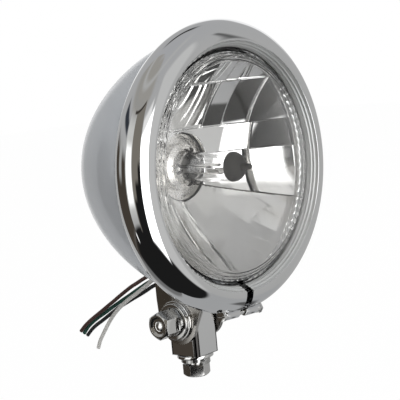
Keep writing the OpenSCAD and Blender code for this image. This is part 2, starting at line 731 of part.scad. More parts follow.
module bulb_dip_shield() {
    color("gray")
    on_axis() {
        rotate([0, 0, 15]) translate([0, 0, flange_z - shield_fwd]) rotate_extrude(angle = 150)
            translate([shield_r - shield_t, 0]) square([shield_t, shield_l]);
        translate([-stalk_w / 2, shield_r - shield_t + 0.1, flange_z - shield_fwd + shield_l - 1.5])
            cube([stalk_w, stalk_w / 2, shield_fwd - shield_l + 1.5 - disc_back]);
    }
}
module bulb_base() {
    r = bulb_d / 2 + fit;
    rim = flange_z + cap_flange_t;
    color("lightgray")
    turned([[0, flange_z - base_back], [r, flange_z - base_back], [r, flange_z - base_back - socket_l],
        [r + 1, flange_z - base_back - socket_l], [r + 1.5, flange_z - base_back - 2],
        [r + 4.9, flange_z - base_back - 0.5], [r + 5.5, flange_z], [cap_d / 2 + cap_rim, flange_z],
        [cap_d / 2 + cap_rim, rim], [cap_d / 2, rim], [cap_d / 2, cap_end - 1], [cap_d / 2 - 1, cap_end],
        [0, cap_end]]);
}
blades = [[0, -8, 0], [-9.5, 1, 90], [9.5, 1, 90]];
blade_t = 0.8;
blade_l = 9;
module bulb_terminals() {
    color("goldenrod")
    on_axis() for (b = blades)
        translate([b[0], b[1], cap_end]) rotate([0, 0, b[2]])
            translate([-blade_w / 2, -blade_t / 2, 0]) cube([blade_w, blade_t, blade_l]);
}
clip_wire_r = 0.7;
module bulb_clip() {
    color("silver")
    on_axis() translate([0, 0, flange_z + cap_flange_t + run + clip_wire_r]) {
        room = collar_room - mirror_t;
        rotate([0, 0, 100]) rotate_extrude(angle = 340)
            translate([cap_d / 2 + 0.2 * room, 0]) circle(clip_wire_r, $fn = 24);
        for (side = [-1, 1]) translate([side * 3.5, cap_d / 2 + 0.14 * room, 0])
            rotate([-90, 0, 0]) cylinder(r = clip_wire_r, h = 0.66 * room, $fn = 24);
    }
}
plug_body = [27, 24, 14];
plug_tail = [20, 18];
outlet_back = 5.5;
plug_under = plug_tail[1] / 2 - 1;
module bulb_connector() {
    color("ivory")
    on_axis() difference() {
        union() {
            translate([0, -1, plug_z]) linear_extrude(plug_body[2])
                rounded_rect(plug_body[0], plug_body[1], 3);
            translate([0, -1, plug_z + plug_body[2]]) linear_extrude(plug_l - plug_body[2])
                rounded_rect(plug_tail[0], plug_tail[1], 3);
        }
        for (b = blades) translate([b[0], b[1], plug_z - 1]) rotate([0, 0, b[2]])
            translate([-blade_w / 2 - slip, -blade_t / 2 - slip, 0])
                cube([blade_w + 2 * slip, blade_t + 2 * slip, blade_l + 1.5]);
    }
}
// Rubber boot over the collar and the bulb's cap
module dust_boot() {
    inner = cap_d / 2 + fit;
    outer = collar_r + 2 * fit;
    color("black")
    turned([[outer, bowl(collar_r, 3.2)], [outer + 1.8, bowl(collar_r, 3.2)],
        [outer + 2.4, flange_z + 1], [outer + 1.8, flange_z + 4.6], [outer - 3.2, flange_z + 6],
        [inner + 1.8, cap_end - 1], [inner + 1.6, cap_end + 0.8], [inner, cap_end + 0.8],
        [inner, flange_z + 5], [outer - 3.6, flange_z + 4], [outer, flange_z + 3.4]]);
}

mount_block();
mount_bolt();
mount_flat_washer();
mount_spring_washer();
pivot_bolt();
pivot_cap_nut();
pivot_flat_washers();
pivot_spring_washer();
bracket();
bracket_screws();
bracket_nuts();
shell();
wire_grommet();
harness_sleeve();
lead_brown();
lead_green();
lead_black();
lead_white();
trim_ring();
clamp_screw();
clamp_nut();
unit_clips();
lens();
lens_seal();
reflector();
bulb_glass();
bulb_filaments();
bulb_dip_shield();
bulb_base();
bulb_terminals();
bulb_clip();
bulb_connector();
dust_boot();
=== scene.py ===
import math

import bmesh
import bpy
from mathutils import Matrix, Vector


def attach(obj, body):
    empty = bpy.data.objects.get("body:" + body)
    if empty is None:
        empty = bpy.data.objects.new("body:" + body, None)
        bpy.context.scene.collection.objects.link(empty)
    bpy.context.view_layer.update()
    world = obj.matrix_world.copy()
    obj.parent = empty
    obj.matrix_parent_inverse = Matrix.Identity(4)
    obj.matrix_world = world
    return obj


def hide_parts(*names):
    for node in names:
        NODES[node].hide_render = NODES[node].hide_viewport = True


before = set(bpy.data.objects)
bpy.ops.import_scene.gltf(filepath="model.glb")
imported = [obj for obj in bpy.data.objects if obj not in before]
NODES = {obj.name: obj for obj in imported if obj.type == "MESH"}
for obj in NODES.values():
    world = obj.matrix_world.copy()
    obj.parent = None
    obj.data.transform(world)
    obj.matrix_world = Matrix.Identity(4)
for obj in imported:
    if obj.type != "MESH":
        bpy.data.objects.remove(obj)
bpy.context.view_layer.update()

MM = 0.001

# ---------------------------------------------------------------- sizes of the part's source, in mm
RING_FWD = 39.5                         # from the pivot forward to the ring's widest plane
AXIS_H = 111.5                          # from the block's underside up to the lamp's axis
RING_R, LIP_R = 82.5, 70.2              # trim ring: outside and front lip
RING_WALL, RING_FRONT, RING_BACK = 1.2, 11.2, 12.4
GAP, GAP_TURN = 5.6, 3.3                # the ring's split: width, and degrees from six o'clock
LUG_R, LUG_L = 2.6, 11.5                # the lugs beside it
SHELL_R0, SHELL_WALL, DOME_L = 75.4, 1.2, 84.0
RIM_DEPTH, RIM_W = 1.6, 3.4             # the shell's inturned rim
UNIT_R, FACE_R, BEZEL_R = 73.0, 66.8, 67.6
SEAT_DEPTH, FACE_DEPTH, DOME_RISE, LENS_WALL = -4.0, -4.8, 16.5, 3.0
MOUTH_R, HOLE_R, HOLE_DEPTH = 63.0, 20.0, 36.0
FLANGE_Z, COLLAR_R = 40.0, 27.6
LOWER_START, CUTOFF = 7.5, 17           # the sloped step: its start under the axis, and its degrees
LEAD_D = 2.4 * MM


def lamp(radius, turn, depth):
    """Point in metres at a radius, a clockwise turn from the top as seen in front, and a depth."""
    a = math.radians(turn)
    return Vector((radius * math.sin(a), depth - RING_FWD, AXIS_H + radius * math.cos(a))) * MM


# ---------------------------------------------------------------- camera
def make_camera():
    azimuth, elevation, roll = (math.radians(v) for v in (-47.56, 7.07, 5.35))
    distance = 0.641
    back = Vector((math.sin(azimuth) * math.cos(elevation),
                   -math.cos(azimuth) * math.cos(elevation), math.sin(elevation)))
    level = Vector((math.cos(azimuth), math.sin(azimuth), 0))
    upright = back.cross(level)
    right = level * math.cos(roll) - upright * math.sin(roll)
    up = level * math.sin(roll) + upright * math.cos(roll)
    target = Vector((-26.36, -RING_FWD, AXIS_H - 14.88)) * MM
    data = bpy.data.cameras.new("camera")
    data.sensor_width = 36
    data.lens = 105.5
    cam = bpy.data.objects.new("camera", data)
    bpy.context.scene.collection.objects.link(cam)
    place = Matrix((right, up, back)).transposed().to_4x4()
    place.translation = target + back * distance
    cam.matrix_world = place
    bpy.context.scene.camera = cam


make_camera()


# ---------------------------------------------------------------- node helpers
def new_material(name):
    m = bpy.data.materials.new(name)
    m.use_nodes = True
    return m, m.node_tree, m.node_tree.nodes["Principled BSDF"]


def set_inputs(n, inputs):
    """Set sockets by name, with underscores for spaces."""
    for key, value in inputs.items():
        n.inputs[key.replace("_", " ")].default_value = value


def node(tree, kind, **inputs):
    n = tree.nodes.new(kind)
    set_inputs(n, inputs)
    return n


def maths(tree, op, a, b=None):
    n = tree.nodes.new("ShaderNodeMath")
    n.operation = op
    for i, v in enumerate((a, b)):
        if v is None:
            continue
        if isinstance(v, (int, float)):
            n.inputs[i].default_value = v
        else:
            tree.links.new(v, n.inputs[i])
    return n.outputs[0]


def ramp(tree, fac, stops):
    n = tree.nodes.new("ShaderNodeValToRGB")
    ends = n.color_ramp.elements
    while len(ends) < len(stops):
        ends.new(0.5)
    for e, (pos, col) in zip(ends, stops):
        e.position = pos
        e.color = (*col, 1)
    tree.links.new(fac, n.inputs[0])
    return n.outputs[0]


def place_noise(tree, scale, detail):
    """Noise in object space. Returns its factor."""
    n = node(tree, "ShaderNodeTexNoise", Scale=scale, Detail=detail, Roughness=0.5)
    coord = tree.nodes.new("ShaderNodeTexCoord").outputs["Object"]
    tree.links.new(coord, n.inputs["Vector"])
    return n.outputs[0]


def span(tree, value, a, b, low, high):
    n = tree.nodes.new("ShaderNodeMapRange")
    for i, v in enumerate((a, b, low, high), 1):
        n.inputs[i].default_value = v
    tree.links.new(value, n.inputs[0])
    return n.outputs[0]


def bump(tree, bsdf, height, strength, distance):
    n = node(tree, "ShaderNodeBump", Strength=strength, Distance=distance)
    tree.links.new(height, n.inputs["Height"])
    tree.links.new(n.outputs[0], bsdf.inputs["Normal"])


def mix(tree, fac, a, b):
    n = tree.nodes.new("ShaderNodeMix")
    n.data_type = "RGBA"
    for socket, v in ((n.inputs[0], fac), (n.inputs[6], a), (n.inputs[7], b)):
        if isinstance(v, tuple):
            socket.default_value = (*v, 1)
        else:
            tree.links.new(v, socket)
    return n.outputs[2]


# ---------------------------------------------------------------- materials
def metal(name, colour, dull, rough, haze, grain=900, depth=0.0, **inputs):
    """Plated metal: slight clouding of colour and gloss, and a fine waviness where depth is set.

    inputs are further sockets of the shader, such as Metallic for a half-bright finish."""
    m, t, b = new_material(name)
    b.inputs["Metallic"].default_value = 1.0
    set_inputs(b, inputs)
    cloud = place_noise(t, 22, 4)
    t.links.new(mix(t, span(t, cloud, 0.35, 0.7, 0, 1), colour, dull), b.inputs["Base Color"])
    fine = place_noise(t, grain, 2)
    t.links.new(maths(t, "ADD", span(t, fine, 0.3, 0.7, rough, rough + haze),
                      span(t, cloud, 0.5, 0.8, 0, haze)), b.inputs["Roughness"])
    if depth:
        bump(t, b, fine, 0.3, depth)
    return m


def plastic(name, colour, dark, rough, grain, depth):
    """Plastic or rubber with a cloudy colour and a fine grain."""
    m, t, b = new_material(name)
    cloud = place_noise(t, 60, 3)
    t.links.new(mix(t, span(t, cloud, 0.35, 0.7, 0, 1), colour, dark), b.inputs["Base Color"])
    fine = place_noise(t, grain, 3)
    t.links.new(span(t, fine, 0.3, 0.7, rough - 0.06, rough + 0.08), b.inputs["Roughness"])
    bump(t, b, fine, 0.35, depth)
    return m


def lens_material():
    """Clear pressed glass, very slightly wavy."""
    m, t, b = new_material("lens_glass")
    set_inputs(b, {"Base Color": (1, 1, 1, 1), "Transmission Weight": 1.0, "IOR": 1.5,
                   "Roughness": 0.0})
    bump(t, b, place_noise(t, 45, 2), 0.12, 0.0004)
    return m


def quartz_material():
    """Clear quartz, with the tip dipped in a dark grey coat."""
    m, t, b = new_material("quartz")
    coord = t.nodes.new("ShaderNodeTexCoord").outputs["Object"]
    part = t.nodes.new("ShaderNodeSeparateXYZ")
    t.links.new(coord, part.inputs[0])
    ragged = maths(t, "MULTIPLY", place_noise(t, 500, 2), 0.0004)
    edge = maths(t, "ADD", part.outputs[1], ragged)
    full, none = (-2.2 - RING_FWD) * MM, (-1.8 - RING_FWD) * MM
    coat = span(t, edge, full, none, 1, 0)
    t.links.new(mix(t, coat, (1.0, 1.0, 1.0), (0.06, 0.055, 0.048)), b.inputs["Base Color"])
    t.links.new(maths(t, "SUBTRACT", 1.0, coat), b.inputs["Transmission Weight"])
    t.links.new(maths(t, "MULTIPLY", coat, 0.62), b.inputs["Roughness"])
    b.inputs["IOR"].default_value = 1.46
    return m


CHROME = metal("chrome", (0.86, 0.865, 0.87), (0.83, 0.835, 0.84), 0.015, 0.02)
SHELL = metal("shell_chrome", (0.64, 0.67, 0.71), (0.61, 0.64, 0.68), 0.40, 0.03, 90,
              Metallic=0.4, Coat_Weight=0.6, Coat_IOR=1.9, Coat_Roughness=0.09)
SATIN = metal("satin_rim", (0.58, 0.59, 0.585), (0.53, 0.54, 0.535), 0.34, 0.06, 400, Metallic=0.5)
DARK = metal("bracket_chrome", (0.62, 0.60, 0.575), (0.50, 0.485, 0.46), 0.10, 0.08, 120, 0.00004)
STEEL = metal("plated_steel", (0.80, 0.80, 0.79), (0.70, 0.70, 0.69), 0.04, 0.05, 160, 0.00004)
SPRING = metal("spring_steel", (0.58, 0.58, 0.575), (0.45, 0.45, 0.44), 0.12, 0.10, 1500, 0.00001)
MIRROR = metal("reflector_mirror", (0.95, 0.95, 0.945), (0.92, 0.92, 0.915), 0.01, 0.01)
MIRROR_LOW = metal("reflector_mirror_hazy", (0.96, 0.955, 0.935), (0.93, 0.925, 0.90), 0.02, 0.02,
                   Metallic=0.62)
BOLT = metal("bolt_steel", (0.72, 0.715, 0.705), (0.64, 0.635, 0.625), 0.17, 0.02)
# painted dark reflection: a near-black chrome for the block's rounded upright edges, standing in
# for the dark room they mirror
PAINTED_DARK_EDGE = metal("edge_painted_dark_reflection", (0.05, 0.048, 0.046), (0.035, 0.034, 0.033), 0.05, 0.03)
# painted shadow: a dark finish for the strip under the sloped step, standing in for its shadow line
STEP_PAINTED_SHADOW = metal("step_painted_shadow", (0.16, 0.155, 0.145), (0.10, 0.097, 0.09), 0.12, 0.08)
NICKEL = metal("bulb_cap_metal", (0.93, 0.91, 0.875), (0.86, 0.84, 0.80), 0.22, 0.08,
               Metallic=0.75)
TABS = metal("tab_steel", (0.10, 0.095, 0.09), (0.06, 0.055, 0.05), 0.35, 0.1)
TUNGSTEN = metal("filament_metal", (0.55, 0.54, 0.52), (0.4, 0.39, 0.37), 0.3, 0.1)
BRASS = metal("terminal_brass", (0.80, 0.66, 0.36), (0.6, 0.48, 0.26), 0.25, 0.12)
RUBBER = plastic("black_rubber", (0.022, 0.022, 0.022), (0.035, 0.034, 0.033), 0.55, 1400, 0.00008)
SLEEVE = plastic("sleeve_plastic", (0.03, 0.03, 0.03), (0.02, 0.02, 0.02), 0.5, 900, 0.0001)
PLUG = plastic("plug_plastic", (0.83, 0.8, 0.72), (0.76, 0.73, 0.66), 0.45, 700, 0.00006)
LENS = lens_material()
QUARTZ = quartz_material()
LEADS = {name: plastic("lead_" + name, colour, dark, 0.42, grain, depth)
         for name, colour, dark, grain, depth in (
             ("brown", (0.075, 0.035, 0.028), (0.05, 0.022, 0.018), 1600, 0.00003),
             ("green", (0.014, 0.085, 0.062), (0.010, 0.058, 0.042), 1600, 0.00003),
             ("black", (0.012, 0.013, 0.015), (0.02, 0.02, 0.022), 1600, 0.00003),
             ("white", (0.58, 0.575, 0.555), (0.50, 0.495, 0.475), 700, 0.00001))}

# the solids that are shown as they come from the CAD
DRESS = {
    STEEL: ("bracket_nuts",),
    SPRING: ("mount_spring_washer", "pivot_spring_washer", "unit_clips", "bulb_clip"),
    NICKEL: ("bulb_base",),
    TUNGSTEN: ("bulb_filaments", "bulb_dip_shield"),
    BRASS: ("bulb_terminals",),
    RUBBER: ("wire_grommet", "lens_seal", "dust_boot"),
    SLEEVE: ("harness_sleeve",),
    PLUG: ("bulb_connector",),
    QUARTZ: ("bulb_glass",),
}
for mat, names in DRESS.items():
    for name in names:
        materials = NODES[name].data.materials
        materials.clear()
        materials.append(mat)


# ---------------------------------------------------------------- mesh helpers
def solid(verts, faces, weld=0.0, shortest=0.0):
    """A bmesh of the faces, welded within a distance in metres, with its normals facing out."""
    mesh = bpy.data.meshes.new("part")
    mesh.from_pydata(verts, [], faces)
    bm = bmesh.new()
    bm.from_mesh(mesh)
    bpy.data.meshes.remove(mesh)
    if weld:
        bmesh.ops.remove_doubles(bm, verts=bm.verts, dist=weld)
        bmesh.ops.dissolve_degenerate(bm, edges=bm.edges, dist=shortest)
    bmesh.ops.recalc_face_normals(bm, faces=bm.faces)
    return bm


def absorb(bm, part):
    """Add one bmesh to another."""
    mesh = bpy.data.meshes.new("part")
    part.to_mesh(mesh)
    part.free()
    bm.from_mesh(mesh)
    bpy.data.meshes.remove(mesh)


def smooth(mesh, sharp=None):
    """Shade smooth, apart from edges over sharp degrees."""
    mesh.polygons.foreach_set("use_smooth", [True] * len(mesh.polygons))
    if sharp:
        mesh.set_sharp_from_angle(angle=math.radians(sharp))


def add_object(name, data, body, stands_for=None):
    """A visible piece, in place of the CAD node it stands for."""
    o = bpy.data.objects.new(name, data)
    bpy.context.scene.collection.objects.link(o)
    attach(o, body)
    if stands_for:
        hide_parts(stands_for)
    return o


def add_mesh(name, bm, mats, sharp, stands_for=None):
    """A piece of the head from a bmesh."""
    mesh = bpy.data.meshes.new(name)
    bm.to_mesh(mesh)
    bm.free()
    smooth(mesh, sharp)
    for mat in mats:
        mesh.materials.append(mat)
    return add_object(name, mesh, "head", stands_for)


def add_fine(name, shape, mats, sharp, stands_for=None):
    """A piece of the head from points and faces."""
    return add_mesh(name, solid(*shape, 1e-7, 1e-7), mats, sharp, stands_for)


def arc(cx, cy, r, a, b, n):
    """Points of an arc as radius and depth, from angle a to b in degrees."""
    return [(cx + r * math.cos(math.radians(a + (b - a) * i / n)),
             cy + r * math.sin(math.radians(a + (b - a) * i / n))) for i in range(n + 1)]


def revolved(profile, n=360, gap=0.0, turn=0.0):
    """Closed profile of radius and depth in mm, turned round the lamp's axis in n steps.

    gap is the width of a parallel slot left open at the bottom, turned by turn degrees."""
    verts, faces = [], []
    m = len(profile)
    for k in range(n + (1 if gap else 0)):
        for r, d in profile:
            half = math.degrees(math.asin(gap / 2 / r)) if gap else 0.0
            verts.append(lamp(r, 180 + turn + half + (360 - 2 * half) * k / n, d))
    for k in range(n):
        a, b = k * m, (k + 1 if gap else (k + 1) % n) * m
        for i in range(m):
            j = (i + 1) % m
            faces.append((a + i, a + j, b + j, b + i))
    if gap:
        faces.append(tuple(range(m)))
        faces.append(tuple(n * m + i for i in range(m - 1, -1, -1)))
    return verts, faces


# ---------------------------------------------------------------- trim ring
def ring_profile():
    lean = 62                           # of the wall inside the lip, from the front's plane
    lip, bead_high, bead_wide = 0.5, 0.45, 0.07
    wall_steps = 36
    shell_rear = SHELL_R0 + 0.1 + RING_WALL
    hoop = ((RING_R - shell_rear) ** 2 + RING_BACK ** 2) / (2 * (RING_R - shell_rear))
    rear = math.degrees(math.asin(RING_BACK / hoop))

    def back(wall, n):
        return arc(RING_R - hoop, 0, hoop - wall, rear, 0, n)

    def front(wall, n):
        return [(LIP_R + (RING_R - LIP_R - wall) * math.cos(math.radians(90 * i / n)),
                 -(RING_FRONT - wall) * math.sin(math.radians(90 * i / n)))
                for i in range(1, n + 1)]

    def bead(u):
        """Two fine beads rolled into the wall."""
        return bead_high * sum(math.exp(-((u - at) / bead_wide) ** 2) for at in (0.36, 0.68))

    outer = back(0, 40) + front(0, 60)
    outer += arc(LIP_R, lip - RING_FRONT, lip, -90, -90 - lean, 8)[1:]
    x, y = outer[-1]
    slope = 1 / math.tan(math.radians(lean))
    foot = SEAT_DEPTH - 1.4
    steps = [i / wall_steps for i in range(1, wall_steps + 1)]
    wall = [(x - slope * (foot - y) * u - bead(u), y + (foot - y) * u) for u in steps]
    x, y = wall[-1]
    wall += [(x - 0.05, foot + 0.4), (x + 0.1, foot + 0.9), (x + 0.1, SEAT_DEPTH)]
    seat = [(BEZEL_R + 3.2, SEAT_DEPTH), (BEZEL_R + 3.2, SEAT_DEPTH - RING_WALL),
            (BEZEL_R + RING_WALL + 0.6, SEAT_DEPTH - RING_WALL - 1.6),
            (LIP_R + 0.6, -RING_FRONT + 2.0)]
    return outer + wall + seat + front(RING_WALL, 30)[::-1] + back(RING_WALL, 20)[::-1]


def make_ring():
    ring = add_fine("ring_shell", revolved(ring_profile(), 480, GAP, GAP_TURN), (CHROME, SATIN),
                    25, "trim_ring")
    for face in ring.data.polygons:     # the wall between the lip and the glass is dull
        out = Vector((face.center.x, 0, face.center.z - AXIS_H * MM))
        ahead = face.center.y + RING_FWD * MM < SEAT_DEPTH * MM
        if (ahead and out.length < (LIP_R - 0.35) * MM
                and face.normal.dot(out.normalized()) < -0.3):
            face.material_index = 1


def ring_frame(across, out, depth):
    """Point beside the ring's gap: across it, outwards and back, in mm."""
    t = math.radians(GAP_TURN)
    return Vector((across * math.cos(t) - out * math.sin(t), depth - RING_FWD,
                   AXIS_H - across * math.sin(t) - out * math.cos(t))) * MM


def ring_lugs():
    """Rolled lugs on both sides of the gap, bored for the clamp screw."""
    bore, screw_depth, bevel = 1.75, -3.0, 0.35
    rim = [(RING_R - 1.2, 0.1), (RING_R - 2.2, 0.5), (RING_R - 2.6, 0.7)]
    outline = [(RING_R + LUG_R * math.sin(math.radians(a)), LUG_R * math.cos(math.radians(a)))
               for a in range(0, 181, 10)]
    outline += [(out, -LUG_R - d) for out, d in rim] + [(out, LUG_R + d) for out, d in rim[::-1]]
    hole = []
    for out, d in outline:
        a = math.atan2(d, out - RING_R)
        hole.append((RING_R + bore * math.cos(a), bore * math.sin(a)))
    verts, faces = [], []
    m = len(outline)
    for s in (-1, 1):
        near, far = s * GAP / 2, s * (GAP / 2 + LUG_L)
        loops = []
        for x, shrink in ((near, bevel), (near + s * bevel * 0.3, bevel * 0.3),
                          (near + s * bevel, 0), (far - s * bevel, 0),
                          (far - s * bevel * 0.3, bevel * 0.3), (far, bevel)):
            loop = []
            for out, d in outline:
                v = Vector((out - RING_R, d))
                v *= max(0.0, v.length - shrink) / v.length
                loop.append(ring_frame(x, RING_R + v.x, screw_depth + v.y))
            loops.append(loop)
        for x in (far, near):
            loops.append([ring_frame(x, o, screw_depth + d) for o, d in hole])
        base = len(verts)
        for loop in loops:
            verts += loop
        for k in range(len(loops)):
            p, q = base + k * m, base + (k + 1) % len(loops) * m
            for i in range(m):
                j = (i + 1) % m
                faces.append((p + i, p + j, q + j, q + i))
    return verts, faces


make_ring()
add_fine("ring_lugs", ring_lugs(), (CHROME,), 40, "trim_ring")


# ---------------------------------------------------------------- shell
def shell_profile():
    fullness, roundness = 1.44, 0.5236  # of the dome's curve, fitted to its outline
    turn = 0.8                          # radius of the corner between rim and dome

    def dome(wall, n):
        out = []
        for i in range(n + 1):
            u = 1 - (1 - i / n) ** 2
            radius = (SHELL_R0 - wall) * max(0.0, 1 - u ** fullness) ** roundness
            out.append((radius, RING_BACK + u * (DOME_L - wall)))
        return out

    rim = [(SHELL_R0 - RIM_W, RIM_DEPTH), (SHELL_R0 - turn, RIM_DEPTH)]
    rim += arc(SHELL_R0 - turn, RIM_DEPTH + turn, turn, -80, 0, 6)
    inside = [(SHELL_R0 - SHELL_WALL, RIM_DEPTH + SHELL_WALL),
              (SHELL_R0 - RIM_W, RIM_DEPTH + SHELL_WALL)]
    return rim + dome(0, 140) + dome(SHELL_WALL, 50)[::-1] + inside


add_fine("shell_bucket", revolved(shell_profile()), (SHELL,), 30, "shell")


# ---------------------------------------------------------------- lens
def lens_profile():
    glass_r = (FACE_R ** 2 + DOME_RISE ** 2) / (2 * DOME_RISE)
    centre = FACE_DEPTH - DOME_RISE + glass_r
    edge_r, plain_r = 1.6, 57.0         # the face's rounded edge, and where the fine rings begin
    flange_front, flange_back = -3.9, -1.3

    def face(r, wall):
        return centre - math.sqrt((glass_r - wall) ** 2 - r ** 2)

    def dome(r, wall, n):
        return [(r * i / n, face(r * i / n, wall)) for i in range(n + 1)]

    inside = dome(plain_r, LENS_WALL, 50)
    for i in range(1, 41):              # three fine rings moulded near the edge
        r = plain_r + (MOUTH_R + 0.4 - plain_r) * i / 40
        ridge = sum(0.28 * math.exp(-((r - at) / 0.4) ** 2) for at in (58.6, 60.6, 62.2))
        inside.append((r, face(r, LENS_WALL) - ridge))
    r1 = FACE_R - edge_r
    edge = []
    for a in range(20, 91, 10):
        t = math.radians(a)
        edge.append((r1 + edge_r * math.sin(t), face(r1, 0) + 0.75 + 1.0 * (1 - math.cos(t))))
    return (dome(r1, 0, 60) + edge + [(FACE_R, flange_front), (UNIT_R, flange_front),
                                      (UNIT_R, flange_back), (MOUTH_R + 1, flange_back)]
            + inside[::-1])


add_fine("lens_glass_dome", revolved(lens_profile()), (LENS,), 35, "lens")


# ---------------------------------------------------------------- reflector
FOCAL = (MOUTH_R ** 2 - HOLE_R ** 2) / (4 * 36.1)
APEX = HOLE_DEPTH + HOLE_R ** 2 / (4 * FOCAL)
CUT = math.tan(math.radians(CUTOFF))
ROLL, EDGE_GRID = 0.3, 0.12             # the rounded edge of a cell, and its outermost grid step
PRESSED_T = 3.6                         # from the front of a cell to the back of its skirt
STRIP_W, STRIP_START = 0.9, 14          # the strip under the sloped step, painted dark as a painted shadow line
# Each cell of the right half: x from, to, height from, to, how far back it is set, then how it
# leans across and up and how it bulges across and up, in mm at the cell's edge.
PLAIN_CELLS = [
    (0, 9.6, 47, 64, 1.4, 0.05, 0.01, -0.13, 0.01),
    (9.6, 19, 47, 64, 0, -0.64, 0, 0, 0.02),
    (19, 26.9, 47, 64, 0.7, 0, 0, -0.01, 0),
    (26.9, 64, 47, 64, 0.28, -0.19, -1.58, 0, -0.01),
    (0, 16, 21, 47, 0.7, 0.74, 0.49, -0.35, -0.69),
    (16, 28.4, 21, 47, 0, 0.5, -0.17, -0.38, -0.17),
    (28.4, 40.8, 21, 47, 0.7, 0.21, 0.16, 0, 0.42),
    (40.8, 64, 21, 47, 0, 1.25, 0.08, 0.09, 0.01),
    (0, 43.8, 5, 21, 0, 2.2, 0.03, -1.37, -0.47),
    (43.8, 64, 5, 21, 0.7, -0.03, 0.02, -0.26, -0.01),
]
ROW_CELLS = [                           # these end at the sloped step
    (0, 42.2, -64, 5, 0.7, 2.2, 0.16, -0.68, 0.04),
    (42.2, 64, -64, 5, 0, 2.18, 0.36, 0.11, -0.48),
]
ROW_FOOT = -26                          # where their lean is measured
LOWER_CELLS = [(0, 64, -64, -LOWER_START, 0, 0.15, 0.15, -0.48, -0.03)]


def bowl_depth(r_squared):
    return APEX - r_squared / (4 * FOCAL)


def patch(cell, side, kind):
    """One cell of the bowl as a grid of rows, clipped by the bulb's opening and the mouth."""
    x0, x1, z0, z1, back, lean_x, lean_z, crown_x, crown_z = cell
    z0, z1, x1 = max(z0, -MOUTH_R), min(z1, MOUTH_R), min(x1, MOUTH_R)

    def first(z):
        a = max(x0, math.sqrt(max(0.0, HOLE_R ** 2 - z * z)))
        return max(a, (-LOWER_START - z) / CUT) if kind == "row" else a

    def last(z):
        b = min(x1, math.sqrt(max(0.0, MOUTH_R ** 2 - z * z)))
        return min(b, (-LOWER_START - z) / CUT) if kind == "lower" else b

    n = max(6, int((z1 - z0) / 0.8))
    rows = {z0 + EDGE_GRID, z0 + ROLL, z1 - ROLL, z1 - EDGE_GRID}
    rows |= {z0 + (z1 - z0) * i / n for i in range(n + 1)}
    rows = [z for z in sorted(rows) if last(z) - first(z) > 0.02]
    m = max(6, int(max(last(z) - first(z) for z in rows) / 0.9))
    cols = m + 5
    base = ROW_FOOT if kind == "row" else z0
    xm, zm, hx, hz = (x0 + x1) / 2, (base + z1) / 2, (x1 - x0) / 2, (z1 - base) / 2
    verts, faces = [], []
    for z in rows:
        a, b = first(z), last(z)
        steps = [0, EDGE_GRID, ROLL] + [(b - a) * i / m for i in range(1, m)]
        steps += [b - a - ROLL, b - a - EDGE_GRID, b - a]
        for s in sorted(min(max(v, 0), b - a) for v in steps):
            x = a + s
            near = [b - a - s]
            if a > 0:
                near.append(s)
            if z0 > -MOUTH_R:
                near.append(z - z0)
            if z1 < MOUTH_R:
                near.append(z1 - z)
            roll = ROLL * max(0.0, 1 - min(near) / ROLL) ** 2
            u, v = (x - xm) / hx, (z - zm) / hz
            depth = (bowl_depth(x * x + z * z) + back + roll + lean_x * u + lean_z * v
                     + crown_x * (1 - u * u) + crown_z * (1 - v * v))
            verts.append(Vector((side * x, depth - RING_FWD, AXIS_H + z)) * MM)
    for k in range(len(rows) - 1):
        for i in range(cols - 1):
            p = k * cols + i
            faces.append((p, p + 1, p + 1 + cols, p + cols))
    return verts, faces


def pressed(cell, side, kind):
    """A cell with a skirt to the back."""
    part = solid(*patch(cell, side, kind), 2e-6, 1e-6)
    if sum(f.normal.y * f.calc_area() for f in part.faces) > 0:
        bmesh.ops.reverse_faces(part, faces=part.faces)
    front = list(part.faces)
    extruded = bmesh.ops.extrude_face_region(part, geom=front, use_keep_orig=True)
    moved = [g for g in extruded["geom"] if isinstance(g, bmesh.types.BMVert)]
    bmesh.ops.translate(part, verts=moved, vec=(0, PRESSED_T * MM, 0))
    bmesh.ops.recalc_face_normals(part, faces=part.faces)
    return part


def turned_parts():
    """The flange at the mouth, the neck behind the bulb's opening, and the collar round it."""
    neck_r, neck_end = HOLE_R + 1.6, FLANGE_Z - 0.1
    collar_in, collar_start = COLLAR_R - 1.6, bowl_depth(COLLAR_R * COLLAR_R) + 1.4
    return [
        [(MOUTH_R - 0.6, -0.1), (UNIT_R, -0.1), (UNIT_R, 1.5), (MOUTH_R - 0.6, 1.5)],
        [(HOLE_R - 0.4, bowl_depth(HOLE_R * HOLE_R) + 1), (neck_r, bowl_depth(neck_r * neck_r) + 1),
         (neck_r, neck_end), (HOLE_R - 1.4, neck_end)],
        [(collar_in, collar_start), (COLLAR_R, collar_start),
         (COLLAR_R, FLANGE_Z + 3), (collar_in, FLANGE_Z + 3)]]


def mouth_beads():
    """A row of beads round the mouth."""
    count, around = 84, 12
    # radius, depth, and how much a bead raises it
    section = [(61.9, 0.9, 0), (62.3, -0.2, 0.15), (63.0, -0.8, 0.45), (63.9, -0.9, 0.5),
               (64.7, -0.5, 0.3), (65.0, 0.4, 0), (63.5, 1.2, 0)]
    n, m = count * around, len(section)
    verts, faces = [], []
    for k in range(n):
        swell = abs(math.sin(math.pi * k / around))
        for r, d, rise in section:
            verts.append(lamp(r, 360 * k / n, d - rise * swell))
    for k in range(n):
        a, b = k * m, (k + 1) % n * m
        for i in range(m):
            j = (i + 1) % m
            faces.append((a + i, a + j, b + j, b + i))
    return verts, faces


